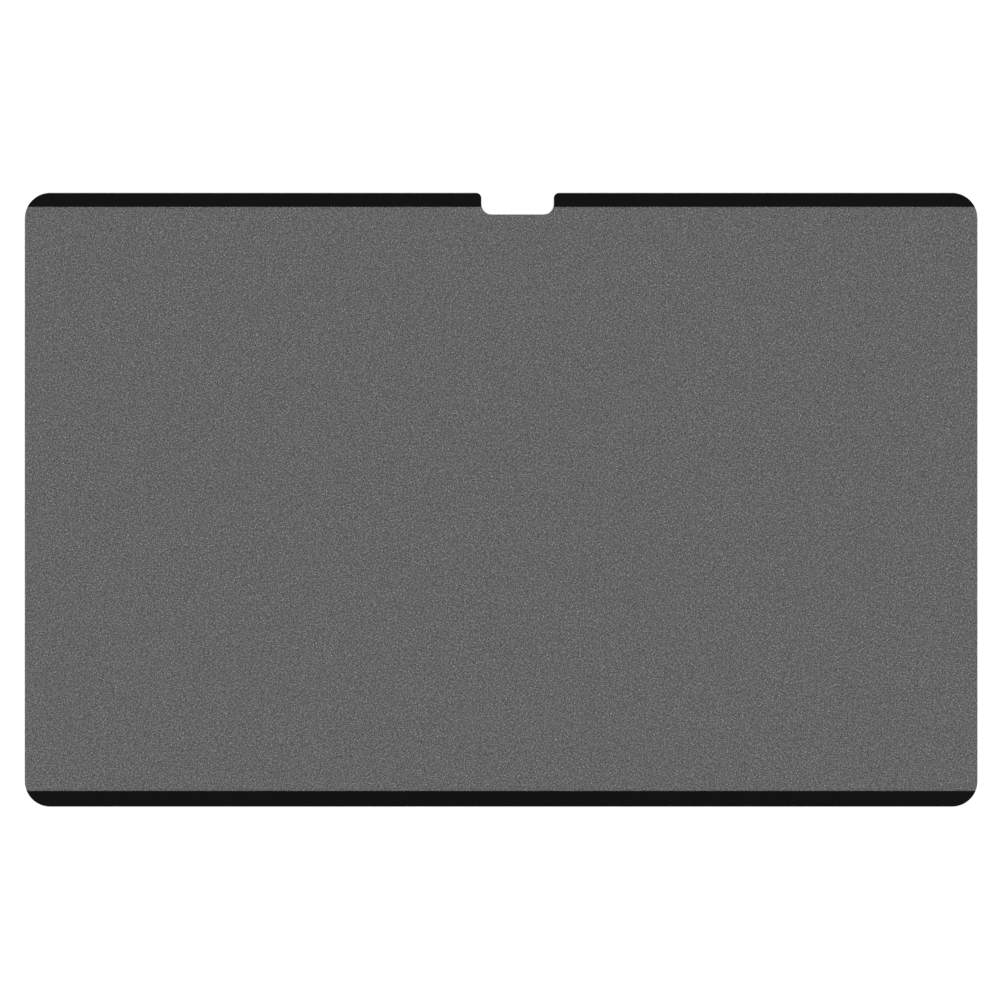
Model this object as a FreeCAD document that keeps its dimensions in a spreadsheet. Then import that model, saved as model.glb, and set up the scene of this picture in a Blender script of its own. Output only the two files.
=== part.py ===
import FreeCAD, Part
import os
import Sketcher

# Tablet privacy screen protector: a die-cut sheet of matte privacy film, with black strips bonded along
# its two long edges. A notch for the tablet's camera parts the upper strip in two.
# The sheet lies flat in XY with its strips up. The origin is the middle of its underside, +X runs along
# the long edges and +Y points to the edge with the notch.

# Driving dimensions in millimetres.
DIMENSIONS = (
    ("film_width", "281", "film along X"),
    ("film_height", "181", "film along Y"),
    ("film_thickness", "0.5", "privacy film, all its bonded layers together"),
    ("corner_radius", "7.5", "outer corners of the die line"),
    ("notch_width", "21.4", "camera notch along the upper edge"),
    ("notch_depth", "6.35", "camera notch, from the upper edge to its floor"),
    ("notch_offset", "4.85", "middle of the notch, from the middle of the film towards +X"),
    ("notch_lip_radius", "1.5", "corners where the notch opens into the upper edge"),
    ("notch_floor_radius", "3.1", "inner corners at the floor of the notch"),
    ("top_strip_width", "4.1", "strips on the notched edge, along Y"),
    ("bottom_strip_width", "4.6", "strip on the plain edge, along Y"),
    ("strip_thickness", "0.15", "strips above the film"),
)

doc = FreeCAD.newDocument("tablet_privacy_screen")
sheet = doc.addObject("Spreadsheet::Sheet", "Sizes")
for row, (alias, size, meaning) in enumerate(DIMENSIONS, start=1):
    sheet.set(f"A{row}", meaning)
    sheet.set(f"B{row}", size)
    sheet.setAlias(f"B{row}", alias)
doc.recompute()


def rectangle(body, name, width, height, centre_x, centre_y):
    """A rectangle on the body's XY plane, sized and placed by expressions."""
    sketch = body.newObject("Sketcher::SketchObject", name)
    plane = next(feature for feature in body.Origin.OriginFeatures if feature.Role == "XY_Plane")
    sketch.AttachmentSupport = (plane, [""])
    sketch.MapMode = "FlatFace"
    corners = [FreeCAD.Vector(x, y, 0) for x, y in ((-1, -1), (1, -1), (1, 1), (-1, 1))]
    for start, end in zip(corners, corners[1:] + corners[:1]):
        sketch.addGeometry(Part.LineSegment(start, end))
    for line in range(4):
        sketch.addConstraint(Sketcher.Constraint("Coincident", line, 2, (line + 1) % 4, 1))
        sketch.addConstraint(Sketcher.Constraint(("Horizontal", "Vertical")[line % 2], line))
    sketch.addConstraint(Sketcher.Constraint("Symmetric", 0, 1, 1, 2, -1, 1))
    across = sketch.addConstraint(Sketcher.Constraint("DistanceX", 0, 1, 0, 2, 2.0))
    sketch.renameConstraint(across, "width")
    sketch.setExpression("Constraints.width", width)
    upright = sketch.addConstraint(Sketcher.Constraint("DistanceY", 1, 1, 1, 2, 2.0))
    sketch.renameConstraint(upright, "height")
    sketch.setExpression("Constraints.height", height)
    sketch.setExpression("AttachmentOffset.Base.x", centre_x)
    sketch.setExpression("AttachmentOffset.Base.y", centre_y)
    return sketch


def cut_through(body, sketch, name):
    """Cuts the sketch out of the body, up through its whole thickness."""
    doc.recompute()
    volume_before = body.Shape.Volume
    pocket = body.newObject("PartDesign::Pocket", name)
    pocket.Profile = sketch
    pocket.Type = "ThroughAll"
    pocket.Reversed = True
    doc.recompute()
    if not 0 < body.Shape.Volume < volume_before:
        raise RuntimeError(f"{name} in {body.Label} cuts nothing away")


def round_upright_edges(body, name, spots, radius):
    """Rounds the body's upright edges, which have their middles above the given spots in XY."""
    doc.recompute()
    base = body.Tip
    edges = []
    for number, edge in enumerate(base.Shape.Edges, start=1):
        middle = edge.CenterOfMass
        for x, y in spots:
            if middle.isEqual(FreeCAD.Vector(x, y, middle.z), 1e-6):
                edges.append(f"Edge{number}")
    if len(edges) != len(spots):
        raise RuntimeError(f"{name} in {body.Label} found {len(edges)} edges")
    fillet = body.newObject("PartDesign::Fillet", name)
    fillet.Base = (base, edges)
    fillet.setExpression("Radius", radius)


def die_cut_sheet(label, thickness, seat):
    """A sheet of the given thickness, cut to the protector's outline, lying at the height of its seat."""
    body = doc.addObject("PartDesign::Body", label)
    body.Label = label
    body.setExpression("Placement.Base.z", seat)

    blank = body.newObject("PartDesign::Pad", "blank")
    blank.Profile = rectangle(body, "blank_outline", "Sizes.film_width", "Sizes.film_height", "0", "0")
    blank.setExpression("Length", thickness)

    # The notch rectangle is centred on the upper edge, so its lower half is what leaves the sheet.
    notch = rectangle(
        body,
        "notch_outline",
        "Sizes.notch_width",
        "2 * Sizes.notch_depth",
        "Sizes.notch_offset",
        "Sizes.film_height / 2",
    )
    cut_through(body, notch, "camera_notch")

    right = sheet.film_width / 2
    top = sheet.film_height / 2
    notch_sides = [sheet.notch_offset + side * sheet.notch_width / 2 for side in (-1, 1)]
    outer_corners = [(x, y) for x in (-right, right) for y in (-top, top)]
    floor_corners = [(x, top - sheet.notch_depth) for x in notch_sides]
    lips = [(x, top) for x in notch_sides]

    # Each notch radius leaves a straight stretch of the notch's side, however shallow the notch is.
    floor_radius = "min(Sizes.notch_floor_radius; Sizes.notch_depth / 2; Sizes.notch_width / 3)"
    lip_radius = f"min(Sizes.notch_lip_radius; (Sizes.notch_depth - {floor_radius}) / 2)"
    round_upright_edges(body, "outer_corners", outer_corners, "Sizes.corner_radius")
    round_upright_edges(body, "notch_floor_corners", floor_corners, floor_radius)
    round_upright_edges(body, "notch_lips", lips, lip_radius)
    return body


def edge_strip(label):
    """A sheet of strip material that lies on the film and has its outline, with no waste cut away yet."""
    return die_cut_sheet(label, "Sizes.strip_thickness", "Sizes.film_thickness")


def trim_to_edge(strip, centre_y):
    """Cuts away all of the strip's sheet but a band along one long edge."""
    waste = rectangle(strip, "waste_outline", "2 * Sizes.film_width", "Sizes.film_height", "0", centre_y)
    cut_through(strip, waste, "waste")


def trim_at_notch(strip, centre_x):
    """Cuts away the strip beyond the middle of the notch."""
    waste = rectangle(strip, "far_side_outline", "Sizes.film_width", "2 * Sizes.film_height", centre_x, "0")
    cut_through(strip, waste, "far_side")


privacy_film = die_cut_sheet("privacy_film", "Sizes.film_thickness", "0")

top_strip_left = edge_strip("top_strip_left")
trim_at_notch(top_strip_left, "Sizes.notch_offset + Sizes.film_width / 2")
trim_to_edge(top_strip_left, "-Sizes.top_strip_width")

top_strip_right = edge_strip("top_strip_right")
trim_at_notch(top_strip_right, "Sizes.notch_offset - Sizes.film_width / 2")
trim_to_edge(top_strip_right, "-Sizes.top_strip_width")

bottom_strip = edge_strip("bottom_strip")
trim_to_edge(bottom_strip, "Sizes.bottom_strip_width")

doc.recompute()
for thing in doc.Objects:
    if "Invalid" in thing.State or "Error" in thing.State:
        raise RuntimeError(f"{thing.Label} failed: {thing.State}")

os.makedirs("parts", exist_ok=True)
for piece in (privacy_film, top_strip_left, top_strip_right, bottom_strip):
    if piece.Shape.isNull() or not piece.Shape.isValid() or len(piece.Shape.Solids) != 1:
        raise RuntimeError(f"{piece.Label} isn't one valid solid")
    piece.Shape.exportStep(f"parts/{piece.Label}.step")
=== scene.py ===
from math import cos, pi, radians, sin

import bmesh
import bpy
from bpy.props import FloatProperty, FloatVectorProperty, PointerProperty
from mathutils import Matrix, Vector


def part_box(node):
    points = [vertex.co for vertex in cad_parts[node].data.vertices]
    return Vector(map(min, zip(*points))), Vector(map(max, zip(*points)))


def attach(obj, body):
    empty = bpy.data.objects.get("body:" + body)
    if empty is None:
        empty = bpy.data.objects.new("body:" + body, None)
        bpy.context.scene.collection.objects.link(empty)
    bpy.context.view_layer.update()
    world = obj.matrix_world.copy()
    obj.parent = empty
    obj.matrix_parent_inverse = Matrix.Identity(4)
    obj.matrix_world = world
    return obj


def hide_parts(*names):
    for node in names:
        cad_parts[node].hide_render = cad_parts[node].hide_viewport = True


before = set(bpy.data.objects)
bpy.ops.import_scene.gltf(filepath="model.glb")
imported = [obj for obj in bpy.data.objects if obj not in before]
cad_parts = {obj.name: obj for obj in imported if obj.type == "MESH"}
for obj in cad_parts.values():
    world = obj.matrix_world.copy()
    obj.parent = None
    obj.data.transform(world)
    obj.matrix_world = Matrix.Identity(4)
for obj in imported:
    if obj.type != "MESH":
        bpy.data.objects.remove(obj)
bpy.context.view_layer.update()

bl_info = {
    "name": "Tablet privacy screen protector",
    "version": (1, 0, 0),
    "blender": (4, 5, 0),
    "location": "View3D > Sidebar > Screen film",
    "description": "Dresses a die-cut privacy film and its edge strips around the packed solids",
    "category": "Object",
}

# Where the photograph shows the film's outer edges, in pixels of its square frame.
PHOTO_SIDE_PX = 1000.0
FILM_LEFT_PX = 24.8
FILM_RIGHT_PX = 977.45
FILM_TOP_PX = 192.9
FILM_BOTTOM_PX = 806.6

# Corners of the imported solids. The two upper strips are equally wide.
FILM_LOW, FILM_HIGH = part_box("privacy_film")
FILM_MIDDLE = (FILM_LOW + FILM_HIGH) / 2
TOP_STRIP_LOW, TOP_STRIP_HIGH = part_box("top_strip_left")
BOTTOM_STRIP_LOW, BOTTOM_STRIP_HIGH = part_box("bottom_strip")

# A quarter turn of an outline is drawn with this many straight steps.
ARC_STEPS = 24
# An outline is cut along one of these axes, and one of these sides of the cut is kept.
ALONG_X, ALONG_Y = range(2)
BELOW, ABOVE = -1, 1
# A cut through an outline drops the points that lie no further than this from the cut.
SHORTEST_RUN = 0.0001
# A cut edge is rounded with this many facets, on the profile of a circle.
EDGE_FACETS = 3
CIRCLE_PROFILE = 0.5
# Walls that meet at more than this angle keep a crisp edge between them.
CRISP_EDGE_ANGLE = radians(40)
# A face lies level if its normal has at least this share of its length upright.
LEVEL = 0.999

# The film's materials, in the order of its slots.
FACE, CUT_EDGE, BACK = range(3)

# The ripple of a surface is turned away from the film's edges by this angle.
RIPPLE_TURN = radians(27)
# The noise that makes the ripple lies about this middle with about this spread.
NOISE_MIDDLE = 0.5
NOISE_SPREAD = 0.13

LAMP_COUNT = 4
FLOOR_GAP = 0.00005
FLOOR_ROUGHNESS = 0.9
# The sky is white up to the first height and dark from the second, as shares of the way to the zenith.
SKY_WHITE_UP_TO = 0.2
SKY_DARK_FROM = 0.6
WHITE = (1, 1, 1)
CAMERA_NEAR = 0.01


def length_property(name, description, default):
    return FloatProperty(name=name, description=description, default=default, unit="LENGTH", precision=6)


def share_property(name, description, default):
    return FloatProperty(
        name=name, description=description, default=default, min=0.0, max=1.0, subtype="FACTOR"
    )


def angle_property(name, description, default):
    return FloatProperty(name=name, description=description, default=default, subtype="ANGLE")


def colour_property(name, description, grey):
    return FloatVectorProperty(
        name=name, description=description, default=(grey,) * 3, min=0.0, max=1.0, subtype="COLOR"
    )


class FilmSettings(bpy.types.PropertyGroup):
    """Sizes and finish of the privacy film"""

    corner_radius: length_property("Corner radius", "Outer corners of the die line", 0.0075)
    notch_width: length_property("Notch width", "Camera notch along the upper edge", 0.0214)
    notch_depth: length_property("Notch depth", "Camera notch from the upper edge to its floor", 0.00635)
    notch_offset: length_property("Notch offset", "Middle of the notch from the film's middle", 0.00485)
    notch_lip_radius: length_property("Notch lip radius", "Corners at the mouth of the notch", 0.0015)
    notch_floor_radius: length_property("Notch floor radius", "Corners at the floor of the notch", 0.0031)
    edge_round: length_property("Edge round", "Rounding that the die leaves on the film's edges", 0.00006)
    skin_thickness: length_property("Skin thickness", "Skins on both sides of the louvre core", 0.0001)
    face_colour: colour_property("Face colour", "Matte coat on the film's face", 0.1)
    skin_colour: colour_property("Skin colour", "Skins where the edge is cut", 0.08)
    core_colour: colour_property("Core colour", "Louvre core where the edge is cut", 0.02)
    back_colour: colour_property("Back colour", "Smooth back of the film", 0.1)
    grain_size: length_property("Grain size", "Width of one grain of the matte coat", 0.0002)
    grain_contrast: share_property("Grain contrast", "How far the grains differ in brightness", 0.28)
    ripple_size: length_property("Ripple size", "Spacing of the matte coat's fine ripple", 0.00038)
    ripple_contrast: share_property("Ripple contrast", "How far the ripple changes the brightness", 0.27)
    ripple_depth: length_property("Ripple depth", "How far the ripple rises and falls", 0.000004)
    face_roughness: share_property("Face roughness", "How far the matte coat spreads a reflection", 0.65)
    edge_roughness: share_property("Edge roughness", "How far the cut edge spreads a reflection", 0.5)
    back_roughness: share_property("Back roughness", "How far the back spreads a reflection", 0.35)
    gloss_spread: share_property("Gloss spread", "How far the roughness varies over a surface", 0.05)


class StripSettings(bpy.types.PropertyGroup):
    """Sizes and finish of the edge strips"""

    top_width: length_property(
        "Upper width", "Strips beside the camera notch", TOP_STRIP_HIGH.y - TOP_STRIP_LOW.y
    )
    bottom_width: length_property(
        "Lower width", "Strip along the plain edge", BOTTOM_STRIP_HIGH.y - BOTTOM_STRIP_LOW.y
    )
    edge_round: length_property("Edge round", "Rounding of the strips' edges", 0.00004)
    colour: colour_property("Colour", "Black of the strips", 0.0024)
    ripple_size: length_property("Ripple size", "Spacing of the fine ripple in the strips' skin", 0.0004)
    ripple_depth: length_property("Ripple depth", "How far the ripple rises and falls", 0.000004)
    reflection: share_property("Reflection", "Specular level of the strips' surface", 0.08)
    roughness: share_property("Roughness", "How far the strips spread a reflection", 0.6)
    gloss_spread: share_property("Gloss spread", "How far the roughness varies over a strip", 0.02)


class StageSettings(bpy.types.PropertyGroup):
    """Light, floor and camera"""

    lamp_strength: FloatProperty(
        name="Lamp strength", description="Light of each of the lamps", default=0.86, min=0.0
    )
    lamp_height: angle_property("Lamp height", "How high the lamps stand", radians(45))
    lamp_spread: angle_property("Lamp spread", "How wide each lamp looks", radians(35))
    zenith: share_property("Zenith", "Brightness of the sky overhead", 0.06)
    floor_size: length_property("Floor size", "Side of the floor", 12.0)
    floor_colour: colour_property("Floor colour", "Pale studio floor", 0.85)
    floor_glow: share_property("Floor glow", "White that the floor adds to what is seen of it", 0.42)
    lens: FloatProperty(
        name="Lens", description="Focal length of the camera", default=100.0, subtype="DISTANCE_CAMERA"
    )


def rounded_outline(corners):
    """Points of a polygon with square corners, each given as x, y and its radius, once they are rounded."""
    points = []
    corners_before = corners[-1:] + corners[:-1]
    corners_after = corners[1:] + corners[:1]
    for before, (x, y, radius), after in zip(corners_before, corners, corners_after):
        corner = Vector((x, y))
        to_before = (Vector(before[:2]) - corner).normalized() * radius
        to_after = (Vector(after[:2]) - corner).normalized() * radius
        centre = corner + to_before + to_after
        for step in range(ARC_STEPS + 1):
            turn = pi / 2 * step / ARC_STEPS
            points.append(centre - to_after * cos(turn) - to_before * sin(turn))
    return points


def notch_middle(film):
    """Where the middle of the notch lies along X."""
    return FILM_MIDDLE.x + film.notch_offset


def film_outline(film):
    """The die line of the film, seen from above and running anticlockwise."""
    left, right = FILM_LOW.x, FILM_HIGH.x
    bottom, top = FILM_LOW.y, FILM_HIGH.y
    notch_left = notch_middle(film) - film.notch_width / 2
    notch_right = notch_middle(film) + film.notch_width / 2
    notch_floor = top - film.notch_depth
    return rounded_outline(
        [
            (left, bottom, film.corner_radius),
            (right, bottom, film.corner_radius),
            (right, top, film.corner_radius),
            (notch_right, top, film.notch_lip_radius),
            (notch_right, notch_floor, film.notch_floor_radius),
            (notch_left, notch_floor, film.notch_floor_radius),
            (notch_left, top, film.notch_lip_radius),
            (left, top, film.corner_radius),
        ]
    )


def kept_side(outline, axis, limit, side):
    """The part of an outline that lies above or below a limit along an axis."""
    kept = []
    for start, end in zip(outline, outline[1:] + outline[:1]):
        start_over = (start[axis] - limit) * side
        end_over = (end[axis] - limit) * side
        if start_over > SHORTEST_RUN:
            kept.append(start)
        if (start_over > 0) != (end_over > 0):
            kept.append(start.lerp(end, start_over / (start_over - end_over)))
    return kept


def add_object(name, data):
    """A new object in the scene, which holds a mesh, a lamp or a camera."""
    holder = bpy.data.objects.new(name, data)
    bpy.context.scene.collection.objects.link(holder)
    return holder


def die_cut_plate(name, outline, low, high, edge_round):
    """A flat plate cut to an outline, with its upper and lower edges slightly rounded."""
    if len(outline) < 3:
        raise ValueError(f"{name} has no outline")
    plate = bmesh.new()
    lower_face = plate.faces.new([plate.verts.new((x, y, low)) for x, y in outline])
    raised = bmesh.ops.extrude_face_region(plate, geom=[lower_face])["geom"]
    raised_points = [item for item in raised if isinstance(item, bmesh.types.BMVert)]
    bmesh.ops.translate(plate, verts=raised_points, vec=(0, 0, high - low))
    bmesh.ops.recalc_face_normals(plate, faces=plate.faces)
    rim = [edge for edge in plate.edges if edge.verts[0].co.z == edge.verts[1].co.z]
    bmesh.ops.bevel(
        plate, geom=rim, offset=edge_round, segments=EDGE_FACETS, profile=CIRCLE_PROFILE, affect="EDGES"
    )
    mesh = bpy.data.meshes.new(name)
    plate.to_mesh(mesh)
    plate.free()
    mesh.set_sharp_from_angle(angle=CRISP_EDGE_ANGLE)
    for face in mesh.polygons:
        face.use_smooth = abs(face.normal.z) < LEVEL
    return add_object(name, mesh)


def stand_for(piece, node):
    """Puts a piece in its node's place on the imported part."""
    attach(piece, "root")
    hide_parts(node)


def new_material(name):
    """A material with its node tree and its Principled shader."""
    material = bpy.data.materials.new(name)
    material.use_nodes = True
    tree = material.node_tree
    return material, tree, tree.nodes["Principled BSDF"]


def opaque(colour):
    """A colour with its alpha, as sockets and ramps take it."""
    return (*colour, 1)


def feed(tree, socket, value):
    """Links a socket to another one, or sets it to a plain value."""
    if isinstance(value, bpy.types.NodeSocket):
        tree.links.new(value, socket)
    else:
        socket.default_value = value


def calculate(tree, operation, *values):
    """The result of a Math node on sockets or plain numbers."""
    node = tree.nodes.new("ShaderNodeMath")
    node.operation = operation
    for socket, value in zip(node.inputs, values):
        feed(tree, socket, value)
    return node.outputs["Value"]


def place_on_piece(tree):
    """Where a point of the surface lies, in metres."""
    return tree.nodes.new("ShaderNodeTexCoord").outputs["Object"]


def grain_heights(tree, grain_size):
    """A random height for each grain, about 0 and with a spread of 1."""
    grains = tree.nodes.new("ShaderNodeTexVoronoi")
    grains.voronoi_dimensions = "2D"
    grains.inputs["Scale"].default_value = 1 / grain_size
    tree.links.new(place_on_piece(tree), grains.inputs["Vector"])
    # A grain's colour is three random shares, so twice their sum lies about 3 with a spread of 1.
    twice_the_sum = tree.nodes.new("ShaderNodeVectorMath")
    twice_the_sum.operation = "DOT_PRODUCT"
    twice_the_sum.inputs[1].default_value = (2, 2, 2)
    tree.links.new(grains.outputs["Color"], twice_the_sum.inputs[0])
    return calculate(tree, "SUBTRACT", twice_the_sum.outputs["Value"], 3)


def ripple_heights(tree, ripple_size):
    """The height of a fine ripple, about 0 and with a spread of about 1."""
    turned = tree.nodes.new("ShaderNodeMapping")
    turned.inputs["Rotation"].default_value = (0, 0, RIPPLE_TURN)
    tree.links.new(place_on_piece(tree), turned.inputs["Vector"])
    noise = tree.nodes.new("ShaderNodeTexNoise")
    noise.noise_dimensions = "2D"
    noise.inputs["Scale"].default_value = 1 / ripple_size
    noise.inputs["Detail"].default_value = 0
    tree.links.new(turned.outputs["Vector"], noise.inputs["Vector"])
    off_middle = calculate(tree, "SUBTRACT", noise.outputs["Fac"], NOISE_MIDDLE)
    return calculate(tree, "DIVIDE", off_middle, NOISE_SPREAD)


def vary_gloss(tree, shader, heights, roughness, spread):
    """Makes the high spots of a surface a little glossier than the low ones."""
    feed(tree, shader.inputs["Roughness"], calculate(tree, "MULTIPLY_ADD", heights, -spread, roughness))


def raise_surface(tree, shader, heights, depth):
    """Lets a surface catch the light as if it rose and fell by the given heights."""
    bump = tree.nodes.new("ShaderNodeBump")
    bump.inputs["Distance"].default_value = depth
    tree.links.new(heights, bump.inputs["Height"])
    tree.links.new(bump.outputs["Normal"], shader.inputs["Normal"])


def matte_face_material(film):
    """Etched matte coat: fine grains of uneven brightness on a fine ripple, a few of them much brighter."""
    material, tree, shader = new_material("matte_film_face")
    grain = grain_heights(tree, film.grain_size)
    ripple = ripple_heights(tree, film.ripple_size)
    rippled = calculate(tree, "MULTIPLY", ripple, film.ripple_contrast)
    unevenness = calculate(tree, "MULTIPLY_ADD", grain, film.grain_contrast, rippled)
    colour = tree.nodes.new("ShaderNodeVectorMath")
    colour.operation = "SCALE"
    colour.inputs[0].default_value = film.face_colour
    feed(tree, colour.inputs["Scale"], calculate(tree, "EXPONENT", unevenness))
    feed(tree, shader.inputs["Base Color"], colour.outputs["Vector"])
    vary_gloss(tree, shader, grain, film.face_roughness, film.gloss_spread)
    raise_surface(tree, shader, ripple, film.ripple_depth)
    return material


def cut_edge_material(film):
    """Cut edge of the laminate: a dark louvre core between two paler skins, scored upright by the die."""
    material, tree, shader = new_material("film_cut_edge")
    height = tree.nodes.new("ShaderNodeSeparateXYZ")
    tree.links.new(place_on_piece(tree), height.inputs["Vector"])
    off_middle = calculate(tree, "SUBTRACT", height.outputs["Z"], FILM_MIDDLE.z)
    half_core = FILM_HIGH.z - FILM_MIDDLE.z - film.skin_thickness
    in_a_skin = calculate(tree, "GREATER_THAN", calculate(tree, "ABSOLUTE", off_middle), half_core)
    layers = tree.nodes.new("ShaderNodeValToRGB")
    core, skin = layers.color_ramp.elements
    core.color = opaque(film.core_colour)
    skin.color = opaque(film.skin_colour)
    feed(tree, layers.inputs["Fac"], in_a_skin)
    feed(tree, shader.inputs["Base Color"], layers.outputs["Color"])
    score_marks = grain_heights(tree, film.grain_size)
    vary_gloss(tree, shader, score_marks, film.edge_roughness, film.gloss_spread)
    return material


def smooth_back_material(film):
    """Back of the film: smooth, with a faint ripple in its gloss."""
    material, tree, shader = new_material("film_back")
    shader.inputs["Base Color"].default_value = opaque(film.back_colour)
    ripple = ripple_heights(tree, film.ripple_size)
    vary_gloss(tree, shader, ripple, film.back_roughness, film.gloss_spread)
    return material


def strip_material(strips):
    """Black strip: a dull skin with a faint fine ripple."""
    material, tree, shader = new_material("black_strip")
    shader.inputs["Base Color"].default_value = opaque(strips.colour)
    shader.inputs["Specular IOR Level"].default_value = strips.reflection
    ripple = ripple_heights(tree, strips.ripple_size)
    vary_gloss(tree, shader, ripple, strips.roughness, strips.gloss_spread)
    raise_surface(tree, shader, ripple, strips.ripple_depth)
    return material


class SCREEN_FILM_OT_build_film(bpy.types.Operator):
    """Build the privacy film with its matte face, cut edge and smooth back"""

    bl_idname = "screen_film.build_film"
    bl_label = "Build privacy film"

    def execute(self, context):
        film = context.scene.film_settings
        piece = die_cut_plate("matte_film", film_outline(film), FILM_LOW.z, FILM_HIGH.z, film.edge_round)
        for material in (matte_face_material(film), cut_edge_material(film), smooth_back_material(film)):
            piece.data.materials.append(material)
        for face in piece.data.polygons:
            if face.normal.z > LEVEL:
                face.material_index = FACE
            elif face.normal.z < -LEVEL:
                face.material_index = BACK
            else:
                face.material_index = CUT_EDGE
        stand_for(piece, "privacy_film")
        return {"FINISHED"}


class SCREEN_FILM_OT_build_strips(bpy.types.Operator):
    """Build the black strips along the film's two long edges"""

    bl_idname = "screen_film.build_strips"
    bl_label = "Build edge strips"

    def execute(self, context):
        film = context.scene.film_settings
        strips = context.scene.strip_settings
        whole = film_outline(film)
        # The sheet is parted at the notch first, so that no thread of it is left across the notch.
        left_half = kept_side(whole, ALONG_X, notch_middle(film), BELOW)
        right_half = kept_side(whole, ALONG_X, notch_middle(film), ABOVE)
        upper_limit = FILM_HIGH.y - strips.top_width
        lower_limit = FILM_LOW.y + strips.bottom_width
        outlines = {
            "top_strip_left": kept_side(left_half, ALONG_Y, upper_limit, ABOVE),
            "top_strip_right": kept_side(right_half, ALONG_Y, upper_limit, ABOVE),
            "bottom_strip": kept_side(whole, ALONG_Y, lower_limit, BELOW),
        }
        material = strip_material(strips)
        for node, outline in outlines.items():
            low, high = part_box(node)
            piece = die_cut_plate("black_" + node, outline, low.z, high.z, strips.edge_round)
            piece.data.materials.append(material)
            stand_for(piece, node)
        return {"FINISHED"}


def lay_floor(stage):
    """A pale floor that looks white and still takes the object's shadow."""
    half = stage.floor_size / 2
    height = FILM_LOW.z - FLOOR_GAP
    corners = [(x * half, y * half, height) for x, y in ((-1, -1), (1, -1), (1, 1), (-1, 1))]
    mesh = bpy.data.meshes.new("floor")
    mesh.from_pydata(corners, [], [range(len(corners))])
    material, tree, shader = new_material("pale_floor")
    shader.inputs["Base Color"].default_value = opaque(stage.floor_colour)
    shader.inputs["Roughness"].default_value = FLOOR_ROUGHNESS
    shader.inputs["Specular IOR Level"].default_value = 0
    shader.inputs["Emission Color"].default_value = opaque(WHITE)
    ray = tree.nodes.new("ShaderNodeLightPath").outputs
    seen_or_mirrored = calculate(tree, "MAXIMUM", ray["Is Camera Ray"], ray["Is Glossy Ray"])
    seen = calculate(tree, "MAXIMUM", seen_or_mirrored, ray["Is Transmission Ray"])
    feed(tree, shader.inputs["Emission Strength"], calculate(tree, "MULTIPLY", seen, stage.floor_glow))
    mesh.materials.append(material)
    add_object("floor", mesh)


def light_sky(stage):
    """A sky that is white round the horizon and dark overhead, as above a copy stand."""
    world = bpy.data.worlds.new("studio")
    bpy.context.scene.world = world
    world.use_nodes = True
    tree = world.node_tree
    background = tree.nodes["Background"]
    background.inputs["Color"].default_value = opaque(WHITE)
    direction = tree.nodes.new("ShaderNodeSeparateXYZ")
    tree.links.new(tree.nodes.new("ShaderNodeTexCoord").outputs["Generated"], direction.inputs["Vector"])
    fade = tree.nodes.new("ShaderNodeMapRange")
    fade.inputs["From Min"].default_value = SKY_WHITE_UP_TO
    fade.inputs["From Max"].default_value = SKY_DARK_FROM
    fade.inputs["To Min"].default_value = 1
    fade.inputs["To Max"].default_value = stage.zenith
    tree.links.new(direction.outputs["Z"], fade.inputs["Value"])
    tree.links.new(fade.outputs["Result"], background.inputs["Strength"])


def add_lamp(name, azimuth, stage):
    """A wide soft lamp far away, high up at the given azimuth."""
    lamp = bpy.data.lights.new(name, "SUN")
    lamp.energy = stage.lamp_strength
    lamp.angle = stage.lamp_spread
    level = cos(stage.lamp_height)
    to_lamp = Vector((cos(azimuth) * level, sin(azimuth) * level, sin(stage.lamp_height)))
    holder = add_object(name, lamp)
    holder.rotation_euler = to_lamp.to_track_quat("Z", "Y").to_euler()


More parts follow.
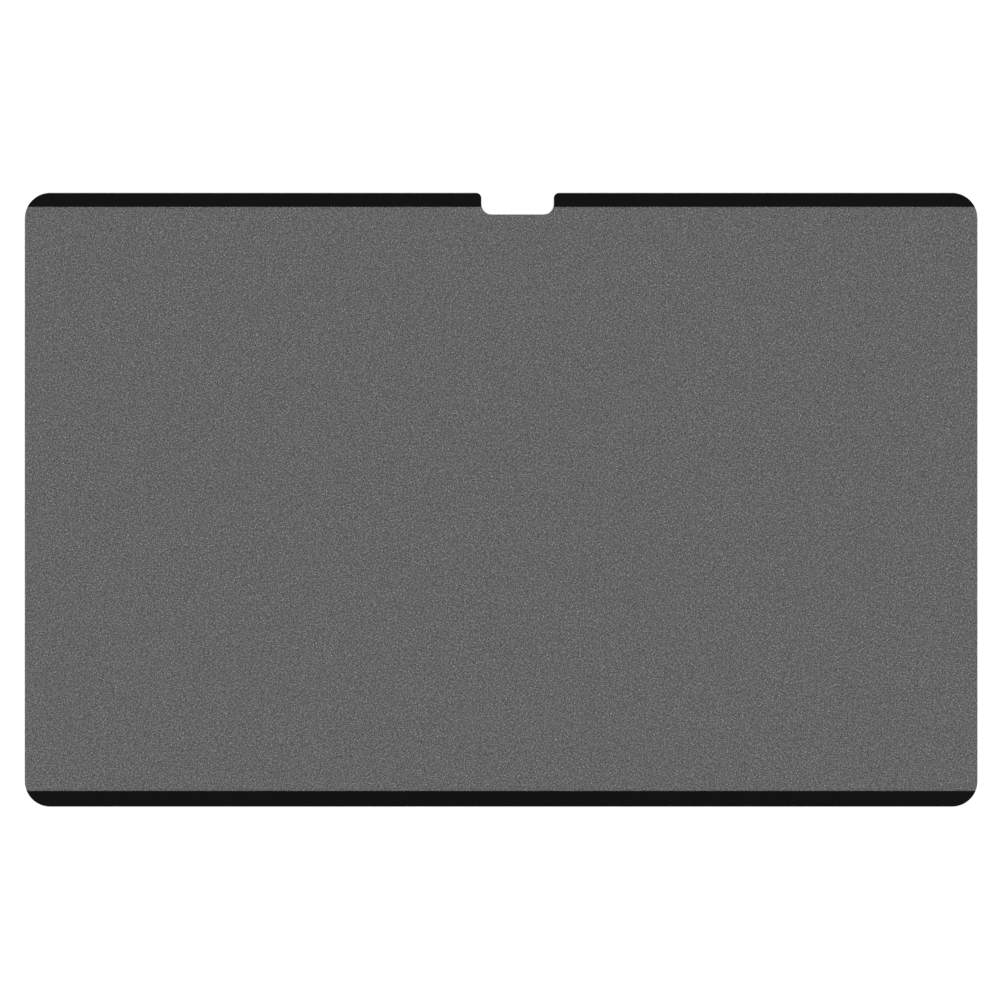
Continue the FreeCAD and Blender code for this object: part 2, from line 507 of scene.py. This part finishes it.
def point_camera(stage):
    """A camera straight above the film, framed as in the photograph."""
    metres_per_px = (FILM_HIGH.x - FILM_LOW.x) / (FILM_RIGHT_PX - FILM_LEFT_PX)
    right_of_film = PHOTO_SIDE_PX / 2 - (FILM_LEFT_PX + FILM_RIGHT_PX) / 2
    below_film = PHOTO_SIDE_PX / 2 - (FILM_TOP_PX + FILM_BOTTOM_PX) / 2
    data = bpy.data.cameras.new("camera")
    data.lens = stage.lens
    data.clip_start = CAMERA_NEAR
    camera = add_object("camera", data)
    camera.location = (
        FILM_MIDDLE.x + right_of_film * metres_per_px,
        FILM_MIDDLE.y - below_film * metres_per_px,
        FILM_HIGH.z + PHOTO_SIDE_PX * metres_per_px * data.lens / data.sensor_width,
    )
    bpy.context.scene.camera = camera


class SCREEN_FILM_OT_build_stage(bpy.types.Operator):
    """Lay the floor, set the lamps and the sky, and point the camera straight down"""

    bl_idname = "screen_film.build_stage"
    bl_label = "Build stage"

    def execute(self, context):
        stage = context.scene.stage_settings
        lay_floor(stage)
        light_sky(stage)
        # The lamps stand between the axes, off the film's corners.
        for number in range(LAMP_COUNT):
            add_lamp(f"lamp_{number}", 2 * pi * (number + 0.5) / LAMP_COUNT, stage)
        point_camera(stage)
        context.scene.view_settings.view_transform = "Standard"
        return {"FINISHED"}


class SCREEN_FILM_PT_panel(bpy.types.Panel):
    """Sizes, colours and the steps that build the screen protector"""

    bl_label = "Privacy screen protector"
    bl_space_type = "VIEW_3D"
    bl_region_type = "UI"
    bl_category = "Screen film"

    def draw(self, context):
        scene = context.scene
        steps = (
            (scene.film_settings, SCREEN_FILM_OT_build_film),
            (scene.strip_settings, SCREEN_FILM_OT_build_strips),
            (scene.stage_settings, SCREEN_FILM_OT_build_stage),
        )
        for settings, operator in steps:
            box = self.layout.box()
            for name in settings.__annotations__:
                box.prop(settings, name)
            box.operator(operator.bl_idname)


CLASSES = (
    FilmSettings,
    StripSettings,
    StageSettings,
    SCREEN_FILM_OT_build_film,
    SCREEN_FILM_OT_build_strips,
    SCREEN_FILM_OT_build_stage,
    SCREEN_FILM_PT_panel,
)


def register():
    for cls in CLASSES:
        bpy.utils.register_class(cls)
    bpy.types.Scene.film_settings = PointerProperty(type=FilmSettings)
    bpy.types.Scene.strip_settings = PointerProperty(type=StripSettings)
    bpy.types.Scene.stage_settings = PointerProperty(type=StageSettings)


def unregister():
    del bpy.types.Scene.stage_settings
    del bpy.types.Scene.strip_settings
    del bpy.types.Scene.film_settings
    for cls in reversed(CLASSES):
        bpy.utils.unregister_class(cls)


def main():
    register()
    bpy.ops.screen_film.build_film()
    bpy.ops.screen_film.build_strips()
    bpy.ops.screen_film.build_stage()


if __name__ == "__main__":
    main()
